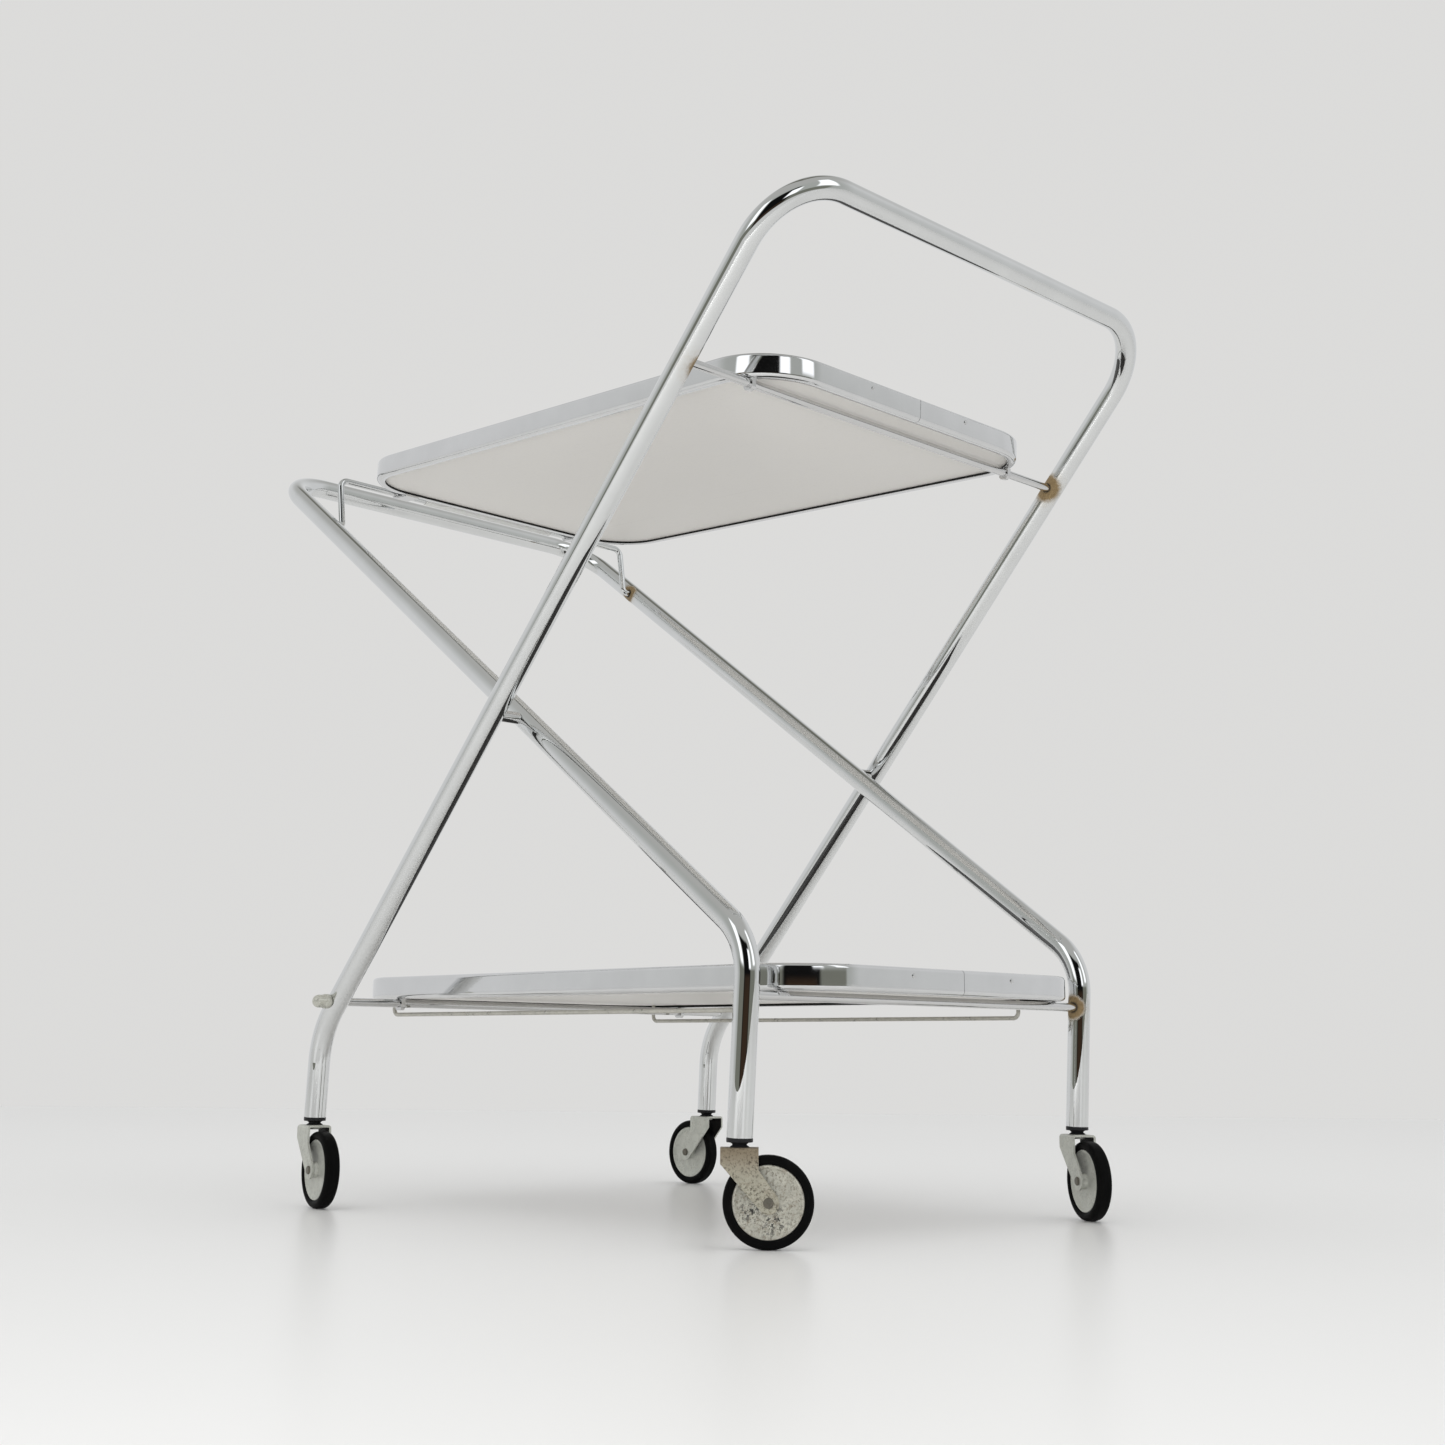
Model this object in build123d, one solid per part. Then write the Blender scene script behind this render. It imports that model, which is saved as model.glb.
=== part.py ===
from build123d import *
import os
from math import atan2, cos, degrees, radians, sin, tan

# Folding serving trolley. Millimetres, +Z up, push bar toward +X.
# The origin is on the floor below the middle of the two bars.

# Tube frames
tube_diameter = 18.0
tube_wall = 1.2
narrow_half_width = 190.8
frame_side_gap = 15.6
foot_end_height = 71.9

push_bar_x = 359.7
push_bar_height = 737.9
wide_knee_x = -181.8
wide_knee_height = 141.2
wide_foot_x = -184.8
wide_bar_bend = 60.0
wide_knee_bend = 70.0

low_bar_drop = 67.1
narrow_knee_x = 293.4
narrow_knee_height = 203.2
narrow_foot_x = 286.0
narrow_bar_bend = 48.0
narrow_knee_bend = 48.0

# Pivot and cross rods
pivot_pin_diameter = 7.0
pivot_bush_diameter = 9.5
pivot_pin_reach = 5.0
rod_diameter = 7.0
rod_blind_reach = 3.0
upper_rod_drop = 116.4
lower_rod_height = 166.0
cap_diameter = 10.5
cap_length = 14.6
cap_wall = 2.6
cap_collar_length = 5.0
cap_collar_step = 0.65
cap_round_share = 0.95

# Bail
bail_wire_diameter = 6.0
bail_side_gap = 3.8
bail_gap = 11.0
bail_rise = 3.5
bail_lean = 7.5
bail_bend = 8.0
bail_foot_bend = 5.0
bail_foot_reach = 4.0
sleeve_diameter = 8.0
sleeve_hook_gap = 28.0

# Trays
tray_side_gap = 13.8
tray_corner = 57.0
rim_height = 19.0
rim_wall = 1.6
lip_width = 8.0
lip_thickness = 1.6
rim_edge_round = 3.6
rim_top_round = 3.0
rim_top_lip = 3.4
panel_recess = 2.6
panel_thickness = 4.0
upper_tray_tilt_degrees = 3.0
upper_tray_overhang = 32.0
lower_tray_overhang = 31.0
lower_tray_back_overhang = 74.4
seam_gap = 0.4
seam_offset = 4.5
strap_length = 132.0
strap_height = 4.8
strap_thickness = 1.0
strap_margin = 0.6
rivet_diameter = 2.4
rivet_head_diameter = 3.4
rivet_head_height = 0.8
rivet_round_share = 0.6
rivet_spacing = 114.0

# Clips, hooks and guide wires
clip_width = 4.0
clip_wall = 1.2
hook_corner_gap = 5.0
hook_width = 14.0
hook_thickness = 1.6
hook_seat = 9.0
hook_lip_share = 0.35
guide_wire_diameter = 3.4
guide_wire_inset = 17.2
guide_wire_drop = 12.6
guide_wire_bend = 5.0
guide_wire_past_rod = 25.0
guide_wire_before_rod = 31.5

# Casters
wheel_diameter = 61.0
tyre_width = 12.4
tyre_inner_diameter = 48.6
tyre_edge_round = 3.4
caster_trail = 19.4
caster_top_height = 65.6
fork_plate_thickness = 2.0
fork_top_length = 25.5
fork_front_height = 10.4
fork_back_height = 14.0
fork_arm_thickness = 1.8
fork_inner_width = 16.4
fork_end_diameter = 14.6
axle_diameter = 4.8
axle_head_diameter = 6.8
axle_head_height = 1.5
axle_round_share = 0.7
disc_rim_width = 10.0
disc_rim_thickness = 2.4
disc_web_thickness = 3.0
hub_diameter = 12.0
hub_side_gap = 0.25
stem_diameter = 8.0
stem_head_diameter = 12.0
stem_head_height = 1.5
stem_length = 18.0
socket_flange_height = 3.0
socket_neck_diameter = 13.0
socket_plug_length = 14.0
socket_plug_gap = 1.0
socket_roof = 2.0

# Clearances
fit_clearance = 0.05
seat_clearance = 0.1
hook_clearance = 0.3
cut_overrun = 5.0

caster_headings_degrees = {"near": 45.0, "left": -12.0, "right": -29.3, "far": 179.5}

tube_radius = tube_diameter / 2
rod_radius = rod_diameter / 2
pin_radius = pivot_pin_diameter / 2
bail_radius = bail_wire_diameter / 2
guide_radius = guide_wire_diameter / 2
wheel_radius = wheel_diameter / 2
low_bar_x = -push_bar_x
low_bar_height = push_bar_height - low_bar_drop
upper_rod_height = push_bar_height - upper_rod_drop
wide_half_width = narrow_half_width + tube_diameter + frame_side_gap
narrow_inner_half = narrow_half_width - tube_radius
bail_half_width = narrow_inner_half - bail_side_gap - bail_radius
tray_width = (narrow_inner_half - tray_side_gap) * 2
hook_spacing = tray_width - (tray_corner + hook_corner_gap) * 2
sleeve_length = hook_spacing - sleeve_hook_gap * 2
guide_wire_half_spacing = tray_width / 2 - guide_wire_inset


def line_crossing(a, b, c, d):
    ux, uz = b[0] - a[0], b[1] - a[1]
    vx, vz = d[0] - c[0], d[1] - c[1]
    t = ((c[0] - a[0]) * vz - (c[1] - a[1]) * vx) / (ux * vz - uz * vx)
    return (a[0] + ux * t, a[1] + uz * t)


def point_at_height(a, b, height):
    t = (height - a[1]) / (b[1] - a[1])
    return (a[0] + (b[0] - a[0]) * t, height)


def point_at_x(a, b, x):
    t = (x - a[0]) / (b[0] - a[0])
    return (x, a[1] + (b[1] - a[1]) * t)


def bent_wire(points, bends):
    corners = [Vector(*p) for p in points]
    edges = []
    start = corners[0]
    for before, corner, after, bend in zip(corners, corners[1:], corners[2:], bends):
        back = (before - corner).normalized()
        ahead = (after - corner).normalized()
        half = radians(back.get_angle(ahead)) / 2
        reach = bend / tan(half)
        middle = (back + ahead).normalized()
        bow = corner + middle * (bend / sin(half) - bend)
        leave = corner + back * reach
        join = corner + ahead * reach
        edges.append(Line(start, leave))
        edges.append(ThreePointArc(leave, bow, join))
        start = join
    edges.append(Line(start, corners[-1]))
    return Wire(edges)


def swept_round(wire, radius):
    return sweep(Plane(origin=wire @ 0, z_dir=wire % 0) * Circle(radius), path=wire)


def bar_along_y(x, z, y_from, y_to, radius):
    middle = (y_from + y_to) / 2
    return Pos(x, middle, z) * Rot(90, 0, 0) * Cylinder(radius, abs(y_to - y_from))


# Points of the two frames in the X-Z plane
wide_foot = (wide_foot_x, foot_end_height)
wide_knee = (wide_knee_x, wide_knee_height)
push_bar = (push_bar_x, push_bar_height)
narrow_foot = (narrow_foot_x, foot_end_height)
narrow_knee = (narrow_knee_x, narrow_knee_height)
low_bar = (low_bar_x, low_bar_height)

pivot = line_crossing(wide_knee, push_bar, narrow_knee, low_bar)
upper_rod = point_at_height(wide_knee, push_bar, upper_rod_height)
wide_lower_rod = point_at_height(wide_knee, push_bar, lower_rod_height)
narrow_lower_rod = point_at_height(narrow_foot, narrow_knee, lower_rod_height)
front_to_lower_rod = narrow_lower_rod[0] - wide_lower_rod[0] + lower_tray_overhang
tray_length = front_to_lower_rod + lower_tray_back_overhang


def frame_tube(foot, knee, bar, half_width, knee_bend, bar_bend):
    foot_end = point_at_height(foot, knee, foot[1] - cut_overrun)
    points = [(foot_end[0], -half_width, foot_end[1]), (knee[0], -half_width, knee[1]),
              (bar[0], -half_width, bar[1]), (bar[0], half_width, bar[1]),
              (knee[0], half_width, knee[1]), (foot_end[0], half_width, foot_end[1])]
    wire = bent_wire(points, [knee_bend, bar_bend, bar_bend, knee_bend])
    tube = swept_round(wire, tube_radius) - swept_round(wire, tube_radius - tube_wall)
    low = Pos(foot[0], 0, foot[1]) * Box(
        tube_diameter * 2, (half_width + tube_diameter) * 2, cut_overrun * 4,
        align=(Align.CENTER, Align.CENTER, Align.MAX))
    return tube - low


def drill_both(tube, point, inner_y, outer_y, radius):
    for side in (-1, 1):
        tube = tube - bar_along_y(point[0], point[1], side * inner_y, side * outer_y, radius)
    return tube


parts = {}

# Wide frame with its rods, caps and pivot
wide_tube = frame_tube(wide_foot, wide_knee, push_bar, wide_half_width,
                       wide_knee_bend, wide_bar_bend)
wide_inner_face = wide_half_width - tube_radius - cut_overrun
wide_outer_face = wide_half_width + tube_radius + cut_overrun
wide_tube = drill_both(wide_tube, upper_rod, wide_inner_face, wide_half_width, rod_radius)
wide_tube = drill_both(wide_tube, wide_lower_rod, wide_inner_face, wide_outer_face, rod_radius)
wide_tube = drill_both(wide_tube, pivot, wide_inner_face, wide_half_width, pin_radius)
parts["handle_frame"] = wide_tube

rod_end = wide_half_width + rod_blind_reach
parts["upper_tray_rod"] = bar_along_y(*upper_rod, -rod_end, rod_end, rod_radius)
cap_start = wide_half_width + tube_radius
rod_end = cap_start + cap_length - cap_wall
parts["lower_tray_rod"] = bar_along_y(*wide_lower_rod, -rod_end, rod_end, rod_radius)


def acorn_cap(side):
    bottom = (Align.CENTER, Align.CENTER, Align.MIN)
    dome = cap_diameter / 2
    cap = Cylinder(dome, cap_length, align=bottom)
    cap = fillet(cap.edges().group_by(Axis.Z)[-1], dome * cap_round_share)
    cap = cap + Cylinder(dome + cap_collar_step, cap_collar_length, align=bottom)
    cap = cap - Cylinder(rod_radius, cap_length - cap_wall, align=bottom)
    return Pos(wide_lower_rod[0], side * cap_start, wide_lower_rod[1]) * Rot(-90 * side, 0, 0) * cap


narrow_outer_face = narrow_half_width + tube_radius
wide_leg_angle = degrees(atan2(push_bar[1] - wide_knee[1], push_bar[0] - wide_knee[0]))
for name, side in (("near", -1), ("far", 1)):
    parts["acorn_cap_" + name] = acorn_cap(side)
    pin_from = side * (narrow_half_width + tube_radius - pivot_pin_reach)
    pin_to = side * (wide_half_width - tube_radius + pivot_pin_reach)
    parts["pivot_pin_" + name] = bar_along_y(*pivot, pin_from, pin_to, pin_radius)
    bush = bar_along_y(*pivot, side * (narrow_outer_face + fit_clearance),
                       side * wide_half_width, pivot_bush_diameter / 2)
    bush = bush - bar_along_y(*pivot, side * narrow_half_width, side * wide_outer_face, pin_radius)
    leg = Pos(pivot[0], side * wide_half_width, pivot[1]) * Rot(0, 90 - wide_leg_angle, 0)
    bush = bush - leg * Cylinder(tube_radius, tube_diameter * 2)
    parts["pivot_bush_" + name] = bush

# Narrow frame with its rod
tilt = radians(upper_tray_tilt_degrees)


def in_tray_frame(rod, overhang, slope, back, up):
    ahead = (cos(slope), -sin(slope))
    above = (sin(slope), cos(slope))
    seat = rod_radius + seat_clearance
    reach = overhang - back
    return (rod[0] + ahead[0] * reach + above[0] * (seat + up),
            rod[1] + ahead[1] * reach + above[1] * (seat + up))


bail_rod = in_tray_frame(upper_rod, upper_tray_overhang, tilt, tray_length + bail_gap, bail_rise)
bail_foot = point_at_x(narrow_knee, low_bar, bail_rod[0] + bail_lean)

narrow_tube = frame_tube(narrow_foot, narrow_knee, low_bar, narrow_half_width,
                         narrow_knee_bend, narrow_bar_bend)
narrow_inner_face = narrow_half_width - tube_radius - cut_overrun
narrow_tube = drill_both(narrow_tube, narrow_lower_rod, narrow_inner_face,
                         narrow_half_width, rod_radius)
narrow_tube = drill_both(narrow_tube, pivot, narrow_half_width,
                         narrow_outer_face + cut_overrun, pin_radius + fit_clearance)
narrow_tube = drill_both(narrow_tube, bail_foot, narrow_inner_face,
                         narrow_half_width, bail_radius + fit_clearance)
parts["low_frame"] = narrow_tube
rod_end = narrow_half_width + rod_blind_reach
parts["low_frame_rod"] = bar_along_y(*narrow_lower_rod, -rod_end, rod_end, rod_radius)

# Bail and its sleeve
foot_y = narrow_half_width - bail_foot_reach
bail_points = [(bail_foot[0], -foot_y, bail_foot[1]), (bail_foot[0], -bail_half_width, bail_foot[1]),
               (bail_rod[0], -bail_half_width, bail_rod[1]),
               (bail_rod[0], bail_half_width, bail_rod[1]),
               (bail_foot[0], bail_half_width, bail_foot[1]), (bail_foot[0], foot_y, bail_foot[1])]
bail_wire = bent_wire(bail_points, [bail_foot_bend, bail_bend, bail_bend, bail_foot_bend])
parts["bail_wire"] = swept_round(bail_wire, bail_radius)
parts["bail_sleeve"] = (
    bar_along_y(*bail_rod, -sleeve_length / 2, sleeve_length / 2, sleeve_diameter / 2)
    - bar_along_y(*bail_rod, -sleeve_length, sleeve_length, bail_radius))


def slab(inset, low, high):
    length = tray_length - inset * 2
    width = tray_width - inset * 2
    face = RectangleRounded(length, width, tray_corner - inset)
    return Pos(0, 0, low) * extrude(face, high - low)


def tray_parts(prefix, rod_offset):
    outer = slab(0, 0, rim_height)
    outer = fillet(outer.edges().group_by(Axis.Z)[0], rim_edge_round)
    outer = fillet(outer.edges().group_by(Axis.Z)[-1], rim_top_round)
    hollow = slab(rim_wall, lip_thickness, rim_height - rim_wall)
    hollow = fillet(hollow.edges().group_by(Axis.Z)[0], rim_edge_round - rim_wall)
    hollow = fillet(hollow.edges().group_by(Axis.Z)[-1], rim_top_round - rim_wall)
    mouth = slab(rim_top_lip, rim_height - rim_edge_round, rim_height + cut_overrun)
    ledge = (slab(lip_width - rim_wall, 0, panel_recess)
             - slab(lip_width, -cut_overrun, panel_recess + cut_overrun))
    rim = outer - hollow - mouth - slab(lip_width, -cut_overrun, cut_overrun) + ledge
    front = tray_length / 2
    slit = Pos(front, seam_offset, 0) * Box(lip_width * 2 + cut_overrun, seam_gap, rim_height * 3)
    rim = rim - slit
    strap_x = front - rim_wall - strap_thickness / 2
    strap_z = rim_height - rim_top_round - strap_margin - strap_height / 2
    strap = Pos(strap_x, seam_offset, strap_z) * Box(strap_thickness, strap_length, strap_height)
    lip_middle_radius = tray_corner - (lip_width + rim_edge_round) / 2
    past_corner = max(0, abs(rod_offset) - (tray_length / 2 - tray_corner))
    lip_middle_y = (tray_width / 2 - tray_corner
                    + (lip_middle_radius ** 2 - past_corner ** 2) ** 0.5)
    made = {}
    for label, side in (("a", -1), ("b", 1)):
        y = seam_offset + side * rivet_spacing / 2
        shank_length = rim_wall + strap_thickness
        shank = Cylinder(rivet_diameter / 2, shank_length,
                         align=(Align.CENTER, Align.CENTER, Align.MIN))
        head = Pos(0, 0, shank_length) * Cylinder(
            rivet_head_diameter / 2, rivet_head_height,
            align=(Align.CENTER, Align.CENTER, Align.MIN))
        head = fillet(head.edges().group_by(Axis.Z)[-1], rivet_head_height * rivet_round_share)
        place = Pos(front - shank_length, y, strap_z) * Rot(0, 90, 0)
        rim = rim - place * shank
        strap = strap - place * shank
        made[prefix + "_rivet_" + label] = place * (shank + head)
        clip_y = side * lip_middle_y
        clip_size = (rod_radius + clip_wall) * 2
        clip = Pos(rod_offset, clip_y, 0) * Box(
            clip_size, clip_width, clip_size, align=(Align.CENTER, Align.CENTER, Align.MAX))
        clip = fillet(clip.edges().filter_by(Axis.Y).group_by(Axis.Z)[0], rod_radius)
        bore_z = -(rod_radius + seat_clearance)
        clip = clip - bar_along_y(rod_offset, bore_z, clip_y - clip_width, clip_y + clip_width,
                                  rod_radius + fit_clearance)
        made[prefix + "_clip_" + label] = clip
    made[prefix + "_rim"] = rim
    made[prefix + "_splice_strap"] = strap
    panel_inset = rim_top_lip + seat_clearance
    panel = slab(panel_inset, panel_recess, panel_recess + panel_thickness)
    made[prefix + "_panel"] = panel
    return made


def bail_hook(side):
    inner = bail_radius + hook_clearance
    outer = inner + hook_thickness
    back = -tray_length / 2
    centre_x = back - bail_gap
    ring = Cylinder(outer, hook_width) - Cylinder(inner, hook_width * 2)
    ring = ring & Pos(0, -outer, 0) * Box(outer * 2, outer * 2, hook_width)
    lip = Pos(-inner, 0, 0) * Box(hook_thickness, outer * hook_lip_share, hook_width,
                                  align=(Align.MAX, Align.MIN, Align.CENTER))
    strap = Pos(0, -bail_rise, 0) * Box(bail_gap + hook_seat, hook_thickness, hook_width,
                                        align=(Align.MIN, Align.MAX, Align.CENTER))
    hook = Rot(90, 0, 0) * (ring + strap + lip)
    return Pos(centre_x, side * hook_spacing / 2, bail_rise) * hook


def placed_tray(made, rod, overhang, slope_degrees):
    centre = in_tray_frame(rod, overhang, radians(slope_degrees), tray_length / 2, 0)
    place = Pos(centre[0], 0, centre[1]) * Rot(0, slope_degrees, 0)
    for node, shape in made.items():
        parts[node] = place * shape


upper = tray_parts("upper_tray", tray_length / 2 - upper_tray_overhang)
for label, side in (("a", -1), ("b", 1)):
    upper["bail_hook_" + label] = bail_hook(side)
placed_tray(upper, upper_rod, upper_tray_overhang, upper_tray_tilt_degrees)

lower = tray_parts("lower_tray", tray_length / 2 - front_to_lower_rod)
placed_tray(lower, wide_lower_rod, front_to_lower_rod, 0)

wire_z = lower_rod_height + rod_radius + seat_clearance - guide_wire_drop
wire_top = lower_rod_height + rod_radius + seat_clearance + panel_recess
wire_from = wide_lower_rod[0] - guide_wire_past_rod
wire_to = narrow_lower_rod[0] - guide_wire_before_rod
for label, side in (("a", -1), ("b", 1)):
    y = side * guide_wire_half_spacing
    points = [(wire_from, y, wire_top), (wire_from, y, wire_z),
              (wire_to, y, wire_z), (wire_to, y, wire_top)]
    path = bent_wire(points, [guide_wire_bend, guide_wire_bend])
    parts["guide_wire_" + label] = swept_round(path, guide_radius)


def turned(profile_points):
    face = make_face(Polyline(*[(r, h) for r, h in profile_points], close=True).edges())
    return revolve(Plane.XZ * face, Axis.Z)


def wheel_disc():
    outer = tyre_inner_diameter / 2
    half = disc_rim_width / 2
    web = disc_web_thickness / 2
    hub = hub_diameter / 2
    hub_half = fork_inner_width / 2 - hub_side_gap
    bore = axle_diameter / 2 + fit_clearance
    inner = outer - disc_rim_thickness
    return turned([(bore, -hub_half), (hub, -hub_half), (hub, -web), (inner, -web),
                   (inner, -half), (outer, -half), (outer, half), (inner, half),
                   (inner, web), (hub, web), (hub, hub_half), (bore, hub_half)])


def tyre():
    ring = Cylinder(wheel_radius, tyre_width)
    ring = fillet(ring.edges().filter_by(GeomType.CIRCLE), tyre_edge_round)
    return ring - Cylinder(tyre_inner_diameter / 2, tyre_width * 2)


def axle():
    half = fork_inner_width / 2 + fork_arm_thickness
    shaft = Cylinder(axle_diameter / 2, half * 2)
    for side in (-1, 1):
        head = Cylinder(axle_head_diameter / 2, axle_head_height,
                        align=(Align.CENTER, Align.CENTER, Align.MIN))
        head = fillet(head.edges().group_by(Axis.Z)[-1], axle_head_height * axle_round_share)
        head = Pos(0, 0, half) * head
        if side < 0:
            head = Rot(180, 0, 0) * head
        shaft = shaft + head
    return shaft


def fork():
    plate_low = caster_top_height - fork_plate_thickness
    outer_width = fork_inner_width + fork_arm_thickness * 2
    plate = Pos(0, 0, plate_low) * Box(
        fork_top_length, outer_width, fork_plate_thickness,
        align=(Align.CENTER, Align.CENTER, Align.MIN))
    end = Pos(caster_trail, wheel_radius) * Circle(fork_end_diameter / 2)
    front, back = -fork_top_length / 2, fork_top_length / 2
    top = Polyline((front, caster_top_height - fork_front_height), (front, caster_top_height),
                   (back, caster_top_height), (back, caster_top_height - fork_back_height),
                   close=True)
    arm = Plane.XZ * make_hull(end.edges() + top.edges())
    body = plate
    for side in (-1, 1):
        y = side * (fork_inner_width + fork_arm_thickness) / 2
        body = body + Pos(0, y, 0) * extrude(arm, fork_arm_thickness / 2, both=True)
    body = body - bar_along_y(caster_trail, wheel_radius, -outer_width, outer_width, axle_diameter / 2)
    bore = Pos(0, 0, plate_low) * Cylinder(stem_diameter / 2, fork_plate_thickness * 4)
    return body - bore


def stem():
    plate_low = caster_top_height - fork_plate_thickness
    shaft = Pos(0, 0, plate_low) * Cylinder(
        stem_diameter / 2, stem_length, align=(Align.CENTER, Align.CENTER, Align.MIN))
    head = Pos(0, 0, plate_low) * Cylinder(
        stem_head_diameter / 2, stem_head_height, align=(Align.CENTER, Align.CENTER, Align.MAX))
    return shaft + head


def socket():
    neck_low = caster_top_height + fit_clearance
    flange_low = foot_end_height - socket_flange_height
    bottom = (Align.CENTER, Align.CENTER, Align.MIN)
    plug_radius = tube_radius - tube_wall - socket_plug_gap
    body = Pos(0, 0, neck_low) * Cylinder(
        socket_neck_diameter / 2, flange_low - neck_low, align=bottom)
    body = body + Pos(0, 0, flange_low) * Cylinder(tube_radius, socket_flange_height, align=bottom)
    body = body + Pos(0, 0, foot_end_height) * Cylinder(plug_radius, socket_plug_length, align=bottom)
    depth = foot_end_height + socket_plug_length - socket_roof - neck_low
    bore = Pos(0, 0, neck_low) * Cylinder(stem_diameter / 2 + fit_clearance, depth, align=bottom)
    return body - bore


feet = {"near": (narrow_foot_x, -narrow_half_width), "left": (wide_foot_x, -wide_half_width),
        "right": (narrow_foot_x, narrow_half_width), "far": (wide_foot_x, wide_half_width)}
lying = Pos(caster_trail, 0, wheel_radius) * Rot(90, 0, 0)
for name, (x, y) in feet.items():
    spot = Pos(x, y, 0) * Rot(0, 0, caster_headings_degrees[name])
    parts["caster_socket_" + name] = Pos(x, y, 0) * socket()
    parts["caster_stem_" + name] = Pos(x, y, 0) * stem()
    parts["caster_fork_" + name] = spot * fork()
    parts["caster_axle_" + name] = spot * lying * axle()
    parts["wheel_disc_" + name] = spot * lying * wheel_disc()
    parts["tyre_" + name] = spot * lying * tyre()

os.makedirs("parts", exist_ok=True)
for node, shape in parts.items():
    export_step(shape, "parts/" + node + ".step")
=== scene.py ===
from math import atan2, cos, hypot, pi, radians, sin, tan

import bmesh
import bpy
from mathutils import Matrix, Vector


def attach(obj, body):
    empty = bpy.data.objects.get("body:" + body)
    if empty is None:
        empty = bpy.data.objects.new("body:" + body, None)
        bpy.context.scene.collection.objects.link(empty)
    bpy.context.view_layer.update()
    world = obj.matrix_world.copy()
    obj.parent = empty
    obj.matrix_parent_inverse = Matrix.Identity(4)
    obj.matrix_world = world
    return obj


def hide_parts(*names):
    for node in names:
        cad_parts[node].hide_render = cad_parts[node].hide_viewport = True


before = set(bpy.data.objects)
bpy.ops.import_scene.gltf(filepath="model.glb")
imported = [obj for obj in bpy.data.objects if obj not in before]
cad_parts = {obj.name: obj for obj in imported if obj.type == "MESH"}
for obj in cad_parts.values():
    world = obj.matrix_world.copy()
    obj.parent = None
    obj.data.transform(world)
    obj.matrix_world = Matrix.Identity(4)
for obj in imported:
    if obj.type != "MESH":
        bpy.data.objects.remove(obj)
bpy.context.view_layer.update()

MM = 0.001

# Sizes in millimetres, as in the CAD source
tube_radius = 9.0
wide_half = 224.4
narrow_half = 190.8
foot_end = 71.9
push_bar = (359.7, 737.9)
wide_knee = (-181.8, 141.2)
wide_foot = (-184.8, foot_end)
wide_bar_bend = 60.0
wide_knee_bend = 70.0
low_bar = (-359.7, 670.8)
narrow_knee = (293.4, 203.2)
narrow_foot = (286.0, foot_end)
narrow_bar_bend = 48.0
narrow_knee_bend = 48.0
rod_radius = 3.5
upper_rod_height = 621.5
lower_rod_height = 166.0
rod_blind_reach = 3.0
rod_end_bevel = 0.4
cap_length = 14.6
cap_wall = 2.6
cap_radius = 5.25
cap_collar = 5.0
cap_collar_step = 0.65
cap_edge_round = 0.4
cap_collar_round = 0.6
cap_dome_share = 0.95
cap_fillet = ((0.15, 0.1), (0.0, 0.6))  # out from the dome, up from the collar
bail_radius = 3.0
bail_half = 175.0
bail_gap = 11.0
bail_rise = 3.5
bail_lean = 7.5
bail_bend = 8.0
bail_foot_bend = 5.0
bail_foot_reach = 4.0
sleeve_radius = 4.0
sleeve_length = 156.0
sleeve_gap = 0.02
sleeve_edge_round = 0.5
tray_length = 556.0
tray_width = 336.0
tray_corner = 57.0
rim_height = 19.0
rim_wall = 1.6
rim_edge_round = 3.6
rim_top_round = 3.0
rim_top_lip = 3.4
lip_width = 8.0
panel_recess = 2.6
lip_bevel = 0.3
lip_edge_round = 0.5
tilt_degrees = 3.0
upper_overhang = 32.0
lower_overhang = 31.0
seam_gap = 0.4
seam_offset = 4.5
seat_clearance = 0.1
guide_radius = 1.7
guide_half = 150.8
guide_drop = 12.6
guide_bend = 5.0
guide_past = 25.0
guide_before = 31.5
wheel_radius = 30.5
tyre_half_width = 6.2
tyre_inner_radius = 24.3
tyre_shoulder = 3.4
tyre_crown_inset = 0.1
caster_trail = 19.4
caster_top = 65.6
fork_top_length = 25.5
fork_front_height = 10.4
fork_back_height = 14.0
socket_flange = 3.0
socket_neck_radius = 6.5
socket_plug_radius = 6.8
socket_plug_length = 14.0
socket_roof = 2.0
stem_radius = 4.0
fit_clearance = 0.05
socket_waist_depth = 1.7
socket_step = 0.5
socket_bevel = 0.3
socket_edge_round = 0.2
fork_thickness = 1.8
fork_inner_half = 8.2
fork_end_radius = 7.3
fork_roll = 2.6
axle_radius = 2.4
disc_half_width = 5.0
hub_radius = 6.0
hub_side_gap = 0.25
hub_chamfer = 0.6
caster_headings = {"near": 45.0, "left": -12.0, "right": -29.3, "far": 179.5}

# How finely the meshes are cut
tube_sides = 64
wire_sides = 32
guide_sides = 24
turned_sides = 48
disc_sides = 72
tyre_sides = 96
fork_end_steps = 18
bar_rows = 40
corner_steps = 20
longest_run = 12.0
weld_distance = 1e-7
on_axis = 1e-9

# The camera, fitted to the photograph
camera_at = (1210.4, -1097.4, 127.0)
camera_azimuth = 45.762
camera_pitch = 12.03
camera_roll = 0.548
focal_pixels = 1876.2
image_pixels = 1445.0
axis_pixel = (737.36, 653.45)
sensor_mm = 36.0


def rod_at_height(a, b, height):
    """The point of the line from a to b at a height, in the X-Z plane."""
    t = (height - a[1]) / (b[1] - a[1])
    return (a[0] + (b[0] - a[0]) * t, height)


def rod_at_x(a, b, x):
    """The point of the line from a to b at an X, in the X-Z plane."""
    t = (x - a[0]) / (b[0] - a[0])
    return (x, a[1] + (b[1] - a[1]) * t)


upper_rod = rod_at_height(wide_knee, push_bar, upper_rod_height)
wide_rod = rod_at_height(wide_knee, push_bar, lower_rod_height)
narrow_rod = rod_at_height(narrow_foot, narrow_knee, lower_rod_height)


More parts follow.
